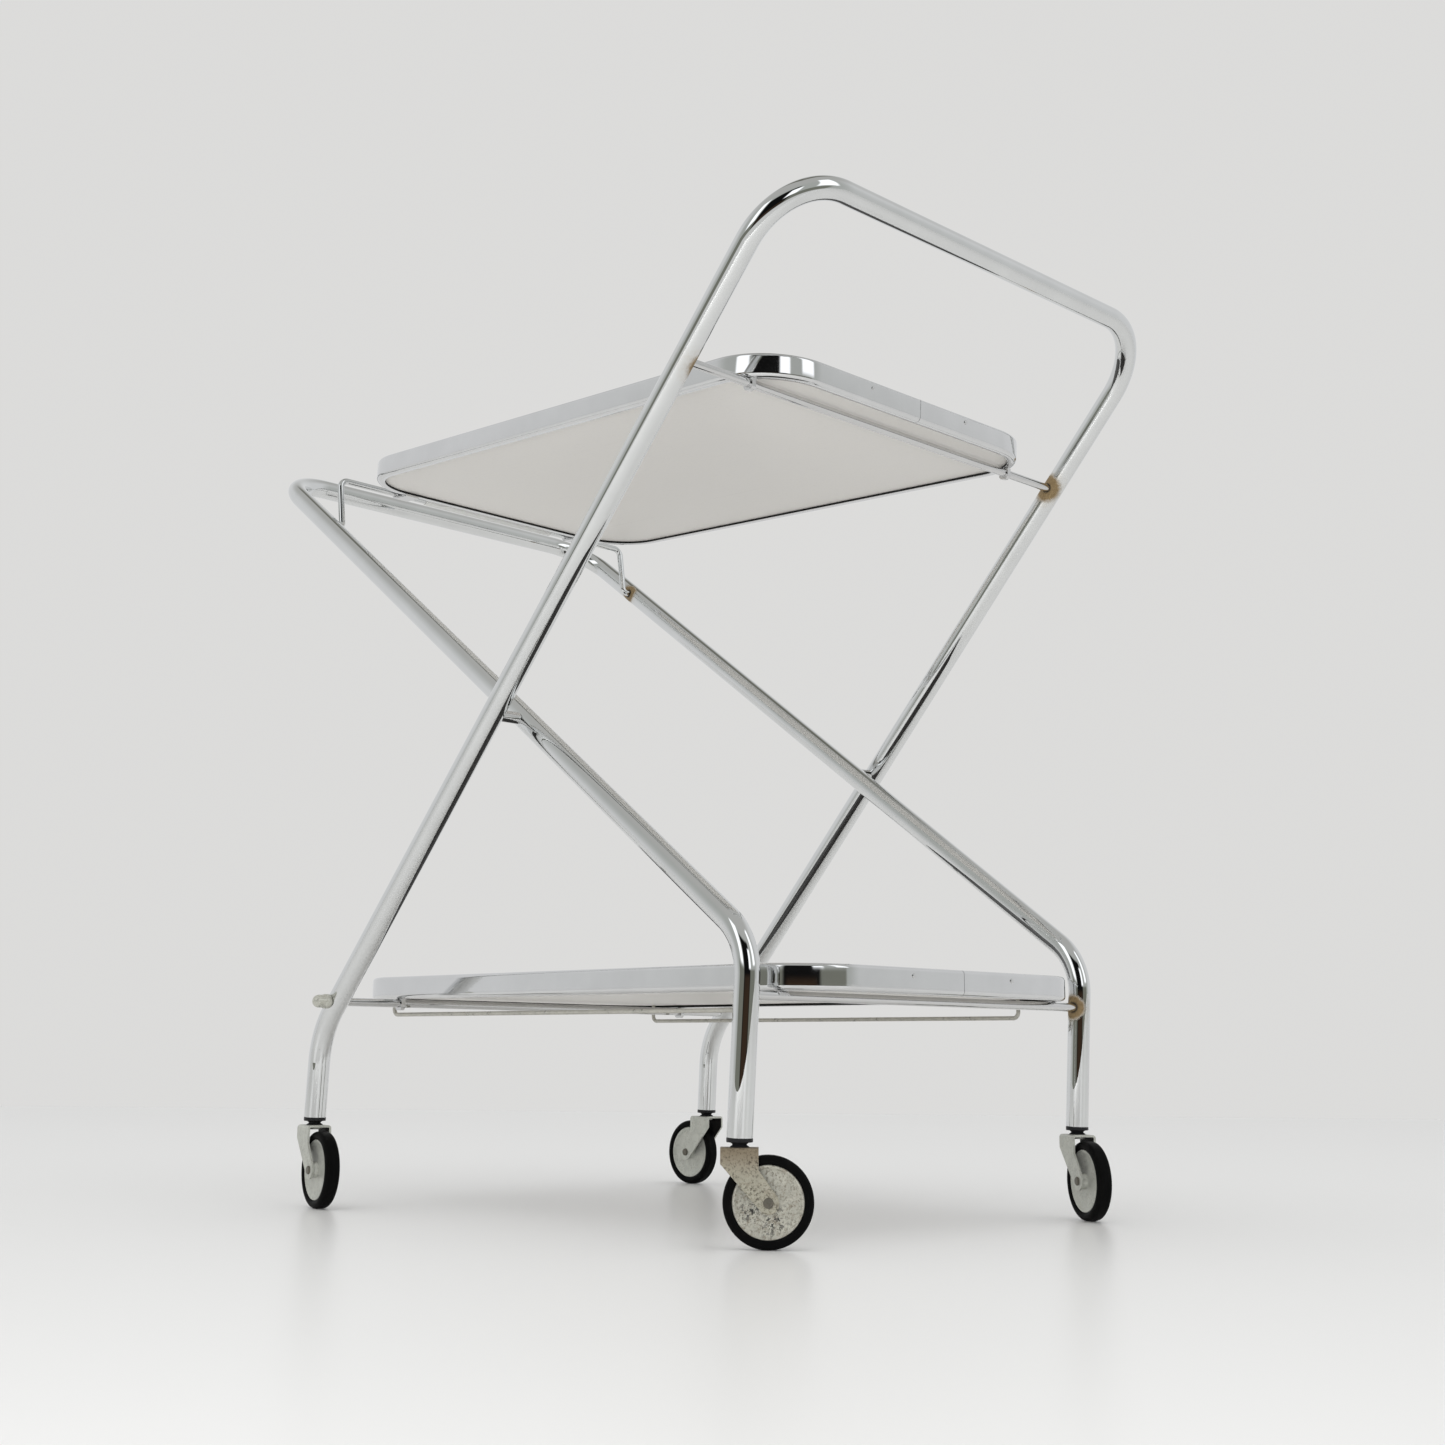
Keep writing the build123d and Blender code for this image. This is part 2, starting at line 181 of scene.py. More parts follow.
def tray_point(rod, overhang, slope, back, up):
    """A point of a tray that rests on a rod: back from its +X end and up from its underside."""
    reach = overhang - back
    rise = rod_radius + seat_clearance + up
    return (rod[0] + cos(slope) * reach + sin(slope) * rise,
            rod[1] - sin(slope) * reach + cos(slope) * rise)


tilt = radians(tilt_degrees)
bail_rod = tray_point(upper_rod, upper_overhang, tilt, tray_length + bail_gap, bail_rise)
bail_foot = rod_at_x(narrow_knee, low_bar, bail_rod[0] + bail_lean)


# Mesh building

def finish_mesh(name, verts, faces, body, material, slot, sharp=35.0):
    """A smooth piece, given in millimetres, on a body; corners over sharp degrees stay crisp."""
    mesh = bpy.data.meshes.new(name)
    mesh.from_pydata([Vector(v) * MM for v in verts], [], faces)
    welded = bmesh.new()
    welded.from_mesh(mesh)
    bmesh.ops.remove_doubles(welded, verts=welded.verts, dist=weld_distance)
    bmesh.ops.recalc_face_normals(welded, faces=welded.faces)
    welded.to_mesh(mesh)
    welded.free()
    mesh.shade_smooth()
    mesh.set_sharp_from_angle(angle=radians(sharp))
    obj = bpy.data.objects.new(name, mesh)
    bpy.context.scene.collection.objects.link(obj)
    obj.data.materials.append(material)
    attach(obj, body)
    return obj


def bent_path(points, bends, step_degrees):
    """The path through corner points, with an arc of the given radius at each inner corner."""
    corners = [Vector(p) for p in points]
    path = [corners[0]]
    for before, corner, after, bend in zip(corners, corners[1:], corners[2:], bends):
        back = (before - corner).normalized()
        ahead = (after - corner).normalized()
        half = back.angle(ahead) / 2
        reach = bend / tan(half)
        centre = corner + (back + ahead).normalized() * (bend / sin(half))
        start = corner + back * reach - centre
        turn = pi - half * 2
        axis = back.cross(ahead).normalized()
        steps = max(4, int(turn / radians(step_degrees)))
        end = corner + ahead * reach - centre
        missed = (Matrix.Rotation(turn, 3, axis) @ start - end).length
        sign = -1.0 if missed > 1e-3 else 1.0
        for i in range(steps + 1):
            path.append(centre + Matrix.Rotation(sign * turn * i / steps, 3, axis) @ start)
    path.append(corners[-1])
    return path


def stepped(path):
    """The path with its long straight runs cut into short ones."""
    points = [path[0]]
    for a, b in zip(path, path[1:]):
        count = max(1, round((b - a).length / longest_run))
        points += [a.lerp(b, i / count) for i in range(1, count + 1)]
    return points


def sweep_round(path, radius, sides):
    """Vertices and faces of a round bar along a path, closed at both ends."""
    last = len(path) - 1
    tangents = [(path[min(i + 1, last)] - path[max(i - 1, 0)]).normalized()
                for i in range(len(path))]
    side = tangents[0].orthogonal().normalized()
    verts, rings = [], []
    for i, (point, tangent) in enumerate(zip(path, tangents)):
        if i:
            side = tangents[i - 1].rotation_difference(tangent) @ side
        side = (side - tangent * side.dot(tangent)).normalized()
        up = tangent.cross(side)
        rings.append(range(len(verts), len(verts) + sides))
        for k in range(sides):
            angle = 2 * pi * k / sides
            verts.append(point + (side * cos(angle) + up * sin(angle)) * radius)
    faces = [(one[k], one[(k + 1) % sides], two[(k + 1) % sides], two[k])
             for one, two in zip(rings, rings[1:]) for k in range(sides)]
    faces.append(tuple(reversed(rings[0])))
    faces.append(tuple(rings[-1]))
    return verts, faces


def lathe(profile, sides, place):
    """A turned shape about local Z from (radius, height) points of a closed outline."""
    verts, faces = [], []
    count = len(profile)
    for k in range(sides):
        angle = 2 * pi * k / sides
        for r, h in profile:
            verts.append(place @ Vector((r * cos(angle), r * sin(angle), h)))
    for k in range(sides):
        n = (k + 1) % sides
        for j in range(count):
            m = (j + 1) % count
            if profile[j][0] < on_axis and profile[m][0] < on_axis:
                continue
            faces.append((k * count + j, n * count + j, n * count + m, k * count + m))
    return verts, faces


def arc(cx, cy, radius, a0, a1, steps):
    """Points of an arc from a0 to a1 degrees."""
    return [(cx + radius * cos(radians(a0 + (a1 - a0) * i / steps)),
             cy + radius * sin(radians(a0 + (a1 - a0) * i / steps))) for i in range(steps + 1)]


def extrude_outline(outline, low, high, place):
    """A flat plate between two heights along local Z from a closed outline."""
    verts = [place @ Vector((x, y, low)) for x, y in outline]
    verts += [place @ Vector((x, y, high)) for x, y in outline]
    n = len(outline)
    faces = [(i, (i + 1) % n, n + (i + 1) % n, n + i) for i in range(n)]
    faces.append(tuple(reversed(range(n))))
    faces.append(tuple(range(n, 2 * n)))
    return verts, faces


def joined(*shapes):
    """Several shapes as one."""
    verts, faces = [], []
    for v, f in shapes:
        base = len(verts)
        verts += list(v)
        faces += [tuple(i + base for i in face) for face in f]
    return verts, faces


# Materials

def shaded(colour, factor):
    return tuple(min(c * factor, 1.0) for c in colour)


class Tree:
    """Adds and links nodes in an emptied node tree."""

    def __init__(self, tree):
        self.tree = tree
        self.tree.nodes.clear()

    def link(self, value, socket):
        if isinstance(value, bpy.types.NodeSocket):
            self.tree.links.new(value, socket)
        elif isinstance(value, tuple) and len(value) == 3 and socket.type == "RGBA":
            socket.default_value = (*value, 1.0)
        else:
            socket.default_value = value

    def add(self, kind, **inputs):
        node = self.tree.nodes.new(kind)
        for key, value in inputs.items():
            self.link(value, node.inputs[key])
        return node

    def math(self, operation, a, b=0.0, c=0.0, clamp=False):
        node = self.add("ShaderNodeMath")
        node.operation = operation
        node.use_clamp = clamp
        for value, socket in zip((a, b, c), node.inputs):
            self.link(value, socket)
        return node.outputs[0]

    def between(self, value, low, high, out_low=0.0, out_high=1.0):
        """A smooth step from out_low at low to out_high at high."""
        node = self.add("ShaderNodeMapRange")
        node.interpolation_type = "SMOOTHSTEP"
        for key, v in (("Value", value), ("From Min", low), ("From Max", high),
                       ("To Min", out_low), ("To Max", out_high)):
            self.link(v, node.inputs[key])
        return node.outputs["Result"]

    def mix(self, fac, a, b):
        node = self.add("ShaderNodeMix")
        node.data_type = "RGBA"
        for value, index in ((fac, 0), (a, 6), (b, 7)):
            self.link(value, node.inputs[index])
        return node.outputs[2]


class Finish(Tree):
    """A material with one principled shader."""

    def __init__(self, name):
        self.material = bpy.data.materials.new(name)
        self.material.use_nodes = True
        super().__init__(self.material.node_tree)
        self.shader = self.add("ShaderNodeBsdfPrincipled")
        self.add("ShaderNodeOutputMaterial", Surface=self.shader.outputs[0])
        self.coord = self.add("ShaderNodeTexCoord").outputs["Object"]

    def set(self, name, value):
        self.link(value, self.shader.inputs[name])

    def noise(self, scale, detail=4.0, rough=0.6, stretch=None, distortion=0.0):
        source = self.coord
        if stretch:
            source = self.add("ShaderNodeMapping", Vector=source, Scale=stretch).outputs[0]
        return self.add("ShaderNodeTexNoise", Vector=source, Scale=scale, Detail=detail,
                        Roughness=rough, Distortion=distortion).outputs["Fac"]

    def cells(self, scale):
        return self.add("ShaderNodeTexVoronoi", Vector=self.coord, Scale=scale).outputs["Distance"]

    def near(self, points, radius, soft=0.5, ragged=0.35, scale=220.0):
        """1 near any of the points, 0 away from them, with a ragged edge; in millimetres."""
        total = None
        wobble = self.noise(scale, 5.0, 0.7)
        for point in points:
            node = self.add("ShaderNodeVectorMath")
            node.operation = "DISTANCE"
            self.link(self.coord, node.inputs[0])
            self.link(Vector(point) * MM, node.inputs[1])
            d = self.math("DIVIDE", node.outputs["Value"], radius * MM)
            d = self.math("MULTIPLY_ADD", wobble, ragged * 2, d)
            one = self.between(d, 1.0 + ragged, 1.0 + ragged - soft)
            total = one if total is None else self.math("MAXIMUM", total, one)
        return total

    def bump(self, height, strength, distance):
        node = self.add("ShaderNodeBump", Strength=strength, Distance=distance, Height=height)
        self.set("Normal", node.outputs[0])


# Colours of rust, stains, pits, laminate and rubber
rust_dark = (0.10, 0.062, 0.026)
rust_light = (0.31, 0.225, 0.115)
rust_halo = (0.50, 0.40, 0.25)
hole_black = (0.006, 0.005, 0.004)
chrome_pit = (0.22, 0.18, 0.14)
dent_black = (0.02, 0.02, 0.02)
zinc_stain = (0.135, 0.10, 0.058)
zinc_pit = (0.010, 0.010, 0.010)
cream_low, cream_high = (0.74, 0.72, 0.685), (0.81, 0.79, 0.755)
cream_fibre, cream_scratch = (0.50, 0.47, 0.42), (0.50, 0.47, 0.43)
sheet_low, sheet_high = (0.026, 0.024, 0.023), (0.040, 0.037, 0.035)
rubber_low, rubber_high = (0.0025, 0.0025, 0.0025), (0.009, 0.0085, 0.008)

# Radii of marks in millimetres
hole_radius = 5.4
dent_radius = 1.7
pit_field_radius = 15.0

# How far below the near fork's top its stain ends, and is full
stain_reach = 26.0
stain_full = 1.0


def chrome(name, base=(0.735, 0.745, 0.745), rough=0.0, rust=(), rust_size=13.0, pits=0.0,
           dents=()):
    """Bright plate, faintly hazed and pitted, with rust where rods pass through."""
    n = Finish(name)
    haze = n.noise(38.0, 3.0, 0.5)
    pit = n.between(n.cells(420.0), 0.10, 0.02)
    patch = n.between(n.noise(26.0, 5.0, 0.65), 0.56, 0.72)
    pit = n.math("MULTIPLY", n.math("MULTIPLY", pit, patch), pits)
    tone = n.mix(haze, shaded(base, 0.93), shaded(base, 1.05))
    tone = n.mix(pit, tone, chrome_pit)
    roughness = n.between(haze, 0.3, 0.75, rough * 0.7, rough * 1.7)
    roughness = n.math("MULTIPLY_ADD", pit, 0.4, roughness)
    metal = 1.0
    if rust:
        core = n.near(rust, rust_size, 0.35, 0.18)
        ring = n.near(rust, rust_size * 1.5, 0.9, 0.5)
        brown = n.mix(n.noise(520.0, 4.0, 0.7), rust_dark, rust_light)
        tone = n.mix(n.math("MULTIPLY", ring, 0.4), tone, rust_halo)
        tone = n.mix(core, tone, brown)
        tone = n.mix(n.near(rust, hole_radius, 0.4, 0.1), tone, hole_black)
        roughness = n.math("MULTIPLY_ADD", core, 0.55, roughness, clamp=True)
        metal = n.between(core, 0.2, 0.9, 1.0, 0.25)
    if dents:
        tone = n.mix(n.near(dents, dent_radius, 0.5, 0.2, 600.0), tone, dent_black)
    n.set("Base Color", tone)
    n.set("Metallic", metal)
    n.set("Roughness", roughness)
    n.bump(haze, 0.03, 0.0003)
    return n.material


def zinc(name, base, dark, rust_amount, rough=0.42, pitted=(), fade=()):
    """Dull zinc plate with a grey bloom and dark specks.

    rust_amount browns it, pitted gives points with black pits near them, and fade the two
    heights between which a brown stain grows.
    """
    n = Finish(name)
    bloom = n.noise(130.0, 6.0, 0.7)
    speck = n.noise(620.0, 5.0, 0.7)
    brown = n.between(n.noise(240.0, 7.0, 0.75), 0.62 - rust_amount * 0.2, 0.70)
    if fade:
        height = n.add("ShaderNodeSeparateXYZ", Vector=n.coord).outputs[2]
        stain = n.between(height, fade[0] * MM, fade[1] * MM)
        brown = n.math("MAXIMUM", n.math("MULTIPLY", brown, 0.6), stain)
    cluster = n.between(n.noise(85.0, 4.0, 0.6), 0.44, 0.62, rust_amount * 0.75)
    grain = n.math("MULTIPLY", n.between(speck, 0.50, 0.60), cluster)
    tone = n.mix(n.between(bloom, 0.3, 0.7), shaded(base, 0.78), base)
    tone = n.mix(n.math("MULTIPLY", brown, rust_amount), tone, zinc_stain)
    tone = n.mix(n.math("MULTIPLY", grain, 0.25 + rust_amount * 0.6), tone, dark)
    roughness = n.between(bloom, 0.2, 0.8, rough * 0.8, rough * 1.3)
    metal = n.between(brown, 0.1, 0.8, 0.55, 0.55 - rust_amount * 0.45)
    if pitted:
        field = n.near(pitted, pit_field_radius, 0.9, 0.5, 90.0)
        pit = n.math("MULTIPLY", field, n.between(n.noise(430.0, 5.0, 0.65), 0.51, 0.56))
        tone = n.mix(pit, tone, zinc_pit)
        metal = n.math("MULTIPLY", metal, n.math("SUBTRACT", 1.0, pit))
    n.set("Base Color", tone)
    n.set("Metallic", metal)
    n.set("Roughness", roughness)
    n.bump(n.math("MULTIPLY_ADD", speck, 0.6, bloom), 0.25, 0.0004)
    return n.material


def laminate(name):
    """A board with a cream underside, faintly mottled and scratched, and a black top sheet."""
    n = Finish(name)
    normal = n.add("ShaderNodeTexCoord").outputs["Normal"]
    top = n.between(n.add("ShaderNodeSeparateXYZ", Vector=normal).outputs[2], 0.4, 0.6)
    cloud = n.noise(7.0, 4.0, 0.55)
    fibre = n.noise(420.0, 3.0, 0.6)
    scratch = n.noise(60.0, 2.0, 0.5, stretch=(0.08, 4.0, 1.0), distortion=0.6)
    scratch = n.between(scratch, 0.70, 0.78)
    tone = n.mix(cloud, cream_low, cream_high)
    tone = n.mix(n.math("MULTIPLY", n.between(fibre, 0.5, 0.8), 0.12), tone, cream_fibre)
    tone = n.mix(n.math("MULTIPLY", scratch, 0.10), tone, cream_scratch)
    black = n.mix(n.between(fibre, 0.4, 0.8), sheet_low, sheet_high)
    n.set("Base Color", n.mix(top, tone, black))
    n.set("Roughness", n.between(cloud, 0.2, 0.8, 0.34, 0.50))
    n.set("Specular IOR Level", 0.35)
    n.bump(n.math("MULTIPLY_ADD", fibre, 0.4, cloud), 0.06, 0.0003)
    return n.material


def rubber(name):
    """Black rubber, faintly dusty all over."""
    n = Finish(name)
    dust = n.noise(90.0, 6.0, 0.7)
    fine = n.noise(1500.0, 3.0, 0.6)
    tone = n.mix(n.between(dust, 0.5, 0.9), rubber_low, rubber_high)
    n.set("Base Color", tone)
    n.set("Roughness", n.between(dust, 0.2, 0.8, 0.38, 0.55))
    n.set("Specular IOR Level", 0.04)
    n.bump(n.math("MULTIPLY_ADD", fine, 0.5, dust), 0.2, 0.0002)
    return n.material


def plastic(name, base, low, rough):
    """Moulded plastic with a fine grain."""
    n = Finish(name)
    cloud = n.noise(120.0, 3.0, 0.5)
    grain = n.noise(2200.0, 2.0, 0.5)
    n.set("Base Color", n.mix(cloud, low, base))
    n.set("Roughness", n.between(cloud, 0.2, 0.8, rough * 0.85, rough * 1.15))
    n.set("Specular IOR Level", 0.2)
    n.bump(grain, 0.08, 0.0001)
    return n.material


# Rust where rods enter the tubes, and dents in the wide frame's feet
rust_wide = [(upper_rod[0], wide_half - tube_radius, upper_rod[1]),
             (upper_rod[0], tube_radius - wide_half, upper_rod[1])]
rust_narrow = [(narrow_rod[0], narrow_half - tube_radius, narrow_rod[1]),
               (bail_foot[0], narrow_half - tube_radius, bail_foot[1])]
dent_height = 127.0
dents_wide = [(wide_foot[0] + 9.2, -wide_half - 4.8, dent_height),
              (wide_foot[0] + 8.1, wide_half - 6.2, dent_height)]
chrome_wide = chrome("chrome_wide_frame", rust=rust_wide, rust_size=15.0, dents=dents_wide)
chrome_narrow = chrome("chrome_narrow_frame", rust=rust_narrow, rust_size=12.0)
chrome_rod = chrome("chrome_rods", base=(0.68, 0.68, 0.68), pits=0.9)
chrome_rim = chrome("chrome_rims", base=(0.72, 0.725, 0.73), rough=0.05)
chrome_wire = chrome("chrome_wire", base=(0.70, 0.71, 0.71))
zinc_wire = zinc("zinc_wire", (0.52, 0.51, 0.46), (0.30, 0.27, 0.20), 0.15, 0.30)
zinc_cap = zinc("zinc_caps", (0.56, 0.56, 0.50), (0.36, 0.33, 0.25), 0.1, 0.28)
zinc_plain = zinc("zinc_casters", (0.56, 0.57, 0.52), (0.20, 0.19, 0.155), 0.3)
zinc_rusty = zinc("zinc_rusty", (0.47, 0.45, 0.365), (0.045, 0.032, 0.020), 0.85, 0.5,
                  fade=(caster_top - stain_reach, caster_top - stain_full))
# The near disc's centre and two fields of pits on it
near_disc = (narrow_foot[0] + caster_trail * cos(radians(caster_headings["near"])),
             -narrow_half + caster_trail * sin(radians(caster_headings["near"])), wheel_radius)
pit_fields = [(near_disc[0] - 5.0, near_disc[1] - 10.6, wheel_radius - 5.0),
              (near_disc[0] + 5.6, near_disc[1], wheel_radius - 12.0)]
zinc_disc = zinc("zinc_disc_worn", (0.56, 0.55, 0.48), (0.08, 0.06, 0.035), 0.75, 0.45, pit_fields)
zinc_axle = zinc("zinc_axle_heads", (0.15, 0.14, 0.115), (0.03, 0.026, 0.02), 0.4)
cream = laminate("cream_laminate")
black_rubber = rubber("black_rubber")
# Near black: painted shade for the rim ledge's gap and the forks' inner faces
painted_shade_black = plastic("painted_shade_black", (0.012, 0.011, 0.010), (0.006, 0.006, 0.006), 0.7)
black_plastic = plastic("black_plastic", (0.014, 0.014, 0.015), (0.008, 0.008, 0.009), 0.42)
pale_plastic = plastic("pale_sleeve", (0.66, 0.66, 0.64), (0.58, 0.58, 0.56), 0.30)

for node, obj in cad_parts.items():
    if node.startswith("tyre"):
        finish = black_rubber
    elif node.endswith("panel"):
        finish = cream
    elif node.startswith("caster_socket"):
        finish = black_plastic
    elif node.startswith("caster_axle"):
        finish = zinc_axle
    elif node.startswith(("caster_", "wheel_disc")):
        finish = zinc_rusty if node.endswith("near") else zinc_plain
    elif node.startswith("pivot_bush"):
        finish = chrome_rod
    elif node == "bail_sleeve":
        finish = pale_plastic
    elif node.startswith("guide"):
        finish = zinc_wire
    elif node.endswith("_rim"):
        finish = chrome_rim
    elif node == "low_frame":
        finish = chrome_narrow
    elif node == "handle_frame":
        finish = chrome_wide
    else:
        finish = chrome_rod
    obj.data.materials.clear()
    obj.data.materials.append(finish)


# Frames: smooth bent tubes

def tube_frame(name, node, body, foot, knee, cross, half, knee_bend, cross_bend, material):
    """One bent tube from foot to foot by way of the cross bar."""
    points = [(foot[0], -half, foot[1]), (knee[0], -half, knee[1]), (cross[0], -half, cross[1]),
              (cross[0], half, cross[1]), (knee[0], half, knee[1]), (foot[0], half, foot[1])]
    path = stepped(bent_path(points, [knee_bend, cross_bend, cross_bend, knee_bend], 2.0))
    obj = finish_mesh(name, *sweep_round(path, tube_radius, tube_sides), body, material,
                      "chrome_tube")
    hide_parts(node)


tube_frame("push_frame_tube", "handle_frame", "wide_frame", wide_foot, wide_knee, push_bar,
           wide_half, wide_knee_bend, wide_bar_bend, chrome_wide)
tube_frame("low_frame_tube", "low_frame", "narrow_frame", narrow_foot, narrow_knee, low_bar,
           narrow_half, narrow_knee_bend, narrow_bar_bend, chrome_narrow)


def bar(name, node, body, x, z, y0, y1, radius, material, slot):
    """A straight round bar along Y with slightly rounded ends."""
    bevel = rod_end_bevel
    run = [(radius, y0 + (y1 - y0) * i / bar_rows) for i in range(1, bar_rows)]
    profile = ([(0, y0)] + arc(radius - bevel, y0 + bevel, bevel, -90, 0, 3) + run
               + arc(radius - bevel, y1 - bevel, bevel, 0, 90, 3) + [(0, y1)])
    place = Matrix.Translation((x, 0, z)) @ Matrix.Rotation(-pi / 2, 4, "X")
    obj = finish_mesh(name, *lathe(profile, turned_sides, place), body, material, slot)
    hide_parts(node)


rod_end = wide_half + rod_blind_reach
bar("upper_rod_bar", "upper_tray_rod", "wide_frame", *upper_rod, -rod_end, rod_end,
    rod_radius, chrome_rod, "chrome_tube")
rod_end = wide_half + tube_radius + cap_length - cap_wall
bar("lower_rod_bar", "lower_tray_rod", "wide_frame", *wide_rod, -rod_end, rod_end,
    rod_radius, chrome_rod, "chrome_tube")
rod_end = narrow_half + rod_blind_reach
bar("low_frame_rod_bar", "low_frame_rod", "narrow_frame", *narrow_rod, -rod_end, rod_end,
    rod_radius, chrome_rod, "chrome_tube")

# Domed caps with a rolled collar on the lower rod
for name, side in (("near", -1), ("far", 1)):
    collar = cap_radius + cap_collar_step
    dome = cap_radius * cap_dome_share
    inside = cap_length - cap_wall + fit_clearance
    profile = ([(rod_radius, 0), (collar - cap_edge_round, 0)]
               + arc(collar - cap_edge_round, cap_edge_round, cap_edge_round, -90, 0, 2)
               + arc(collar - cap_collar_round, cap_collar - cap_collar_round,
                     cap_collar_round, 0, 90, 3)
               + [(cap_radius + out, cap_collar + up) for out, up in cap_fillet]
               + arc(cap_radius - dome, cap_length - dome, dome, 0, 90, 10)
               + [(0, cap_length), (0, inside), (rod_radius, inside)])
    place = (Matrix.Translation((wide_rod[0], side * (wide_half + tube_radius), wide_rod[1]))
             @ Matrix.Rotation(-side * pi / 2, 4, "X"))
    cap = finish_mesh("dome_cap_" + name, *lathe(profile, turned_sides, place), "wide_frame",
                      zinc_cap, "chrome_tube")
    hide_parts("acorn_cap_" + name)

# Bail wire and its sleeve
foot_y = narrow_half - bail_foot_reach
points = [(bail_foot[0], -foot_y, bail_foot[1]), (bail_foot[0], -bail_half, bail_foot[1]),
          (bail_rod[0], -bail_half, bail_rod[1]), (bail_rod[0], bail_half, bail_rod[1]),
          (bail_foot[0], bail_half, bail_foot[1]), (bail_foot[0], foot_y, bail_foot[1])]
path = stepped(bent_path(points, [bail_foot_bend, bail_bend, bail_bend, bail_foot_bend], 5.0))
wire = finish_mesh("bail_bow", *sweep_round(path, bail_radius, wire_sides), "bail", chrome_wire,
                   "chrome_wire")
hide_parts("bail_wire")
sleeve_half = sleeve_length / 2
sleeve_bore = bail_radius + sleeve_gap
sleeve_rim = sleeve_radius - sleeve_edge_round
sleeve_edge = sleeve_half - sleeve_edge_round
profile = ([(sleeve_bore, -sleeve_half)]
           + arc(sleeve_rim, -sleeve_edge, sleeve_edge_round, -90, 0, 3)
           + arc(sleeve_rim, sleeve_edge, sleeve_edge_round, 0, 90, 3)
           + [(sleeve_bore, sleeve_half)])
place = Matrix.Translation((bail_rod[0], 0, bail_rod[1])) @ Matrix.Rotation(-pi / 2, 4, "X")
sleeve = finish_mesh("bail_tube_sleeve", *lathe(profile, turned_sides, place), "bail",
                     pale_plastic, "white_plastic")
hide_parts("bail_sleeve")


# Trays: rolled channel rims
def corner_loop(inset):
    """Points round the tray at an inset from its outside, from the butt seam and back to it."""
    x, y, r = tray_length / 2 - inset, tray_width / 2 - inset, tray_corner - inset
    loop = [(x, seam_offset + seam_gap / 2)]
    for sx, sy, a0 in ((1, 1, 0), (-1, 1, 90), (-1, -1, 180), (1, -1, 270)):
        loop += arc(sx * (x - r), sy * (y - r), r, a0, a0 + 90, corner_steps)
    loop.append((x, seam_offset - seam_gap / 2))
    return loop


def rim_section():
    """The rim's section as (inset, height) points."""
    wall = rim_wall
    low, high = rim_edge_round, rim_top_round
    inner_low, inner_high = low - wall, high - wall
    section = arc(low, low, low, 270, 180, 8)
    section += arc(high, rim_height - high, high, 180, 90, 8)
    section += [(rim_top_lip, rim_height), (rim_top_lip, rim_height - wall)]
    section += arc(high, rim_height - high, inner_high, 90, 180, 5)
    section += arc(low, low, inner_low, 180, 270, 5)
    ledge = lip_width - wall
    section += [(ledge, wall), (ledge, panel_recess - lip_bevel),
                (ledge + lip_bevel, panel_recess), (lip_width - lip_bevel, panel_recess),
                (lip_width, panel_recess - lip_bevel), (lip_width, lip_edge_round),
                (lip_width - lip_bevel / 2, lip_bevel / 2), (lip_width - lip_edge_round, 0)]
    return section


def rim_shape(place):
    """The rim's section carried round the tray, closed at both faces of the seam."""
    section = rim_section()
    verts, faces = [], []
    rings = [corner_loop(inset) for inset, height in section]
    count, length = len(section), len(rings[0])
    for j in range(length):
        for i, (inset, height) in enumerate(section):
            x, y = rings[i][j]
            verts.append(place @ Vector((x, y, height)))
    for j in range(length - 1):
        for i in range(count):
            n = (i + 1) % count
            faces.append((j * count + i, (j + 1) * count + i,
                          (j + 1) * count + n, j * count + n))
    faces.append(tuple(range(count)))
    faces.append(tuple(reversed(range((length - 1) * count, length * count))))
    return verts, faces


upper_centre = tray_point(upper_rod, upper_overhang, tilt, tray_length / 2, 0)
upper_place = (Matrix.Translation((upper_centre[0], 0, upper_centre[1]))
               @ Matrix.Rotation(tilt, 4, "Y"))
front_reach = narrow_rod[0] - wide_rod[0] + lower_overhang
lower_centre = tray_point(wide_rod, front_reach, 0.0, tray_length / 2, 0)
lower_place = Matrix.Translation((lower_centre[0], 0, lower_centre[1]))
# Faces on top of the ledge, under the panel's edge, get painted shade: near black for the gap
section_count = len(rim_section())
ledge_faces = (section_count - 5, section_count - 4)
for tray, place in (("upper_tray", upper_place), ("lower_tray", lower_place)):
    rim = finish_mesh(tray + "_channel", *rim_shape(place), tray, chrome_rim, "rim_chrome", 50.0)
    rim.data.materials.append(painted_shade_black)
    for face in rim.data.polygons:
        if face.index % section_count in ledge_faces and len(face.vertices) == 4:
            face.material_index = 1
    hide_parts(tray + "_rim")

# Guide wires under the lower tray
wire_z = lower_rod_height + rod_radius + seat_clearance - guide_drop
wire_top = lower_rod_height + rod_radius + seat_clearance + panel_recess
for label, side in (("a", -1), ("b", 1)):
    y = side * guide_half
    back, front = wide_rod[0] - guide_past, narrow_rod[0] - guide_before
    points = [(back, y, wire_top), (back, y, wire_z), (front, y, wire_z), (front, y, wire_top)]
    path = stepped(bent_path(points, [guide_bend, guide_bend], 6.0))
    wire = finish_mesh("guide_rail_" + label, *sweep_round(path, guide_radius, guide_sides),
                       "lower_tray", zinc_wire, "zinc_wire")
    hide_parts("guide_wire_" + label)


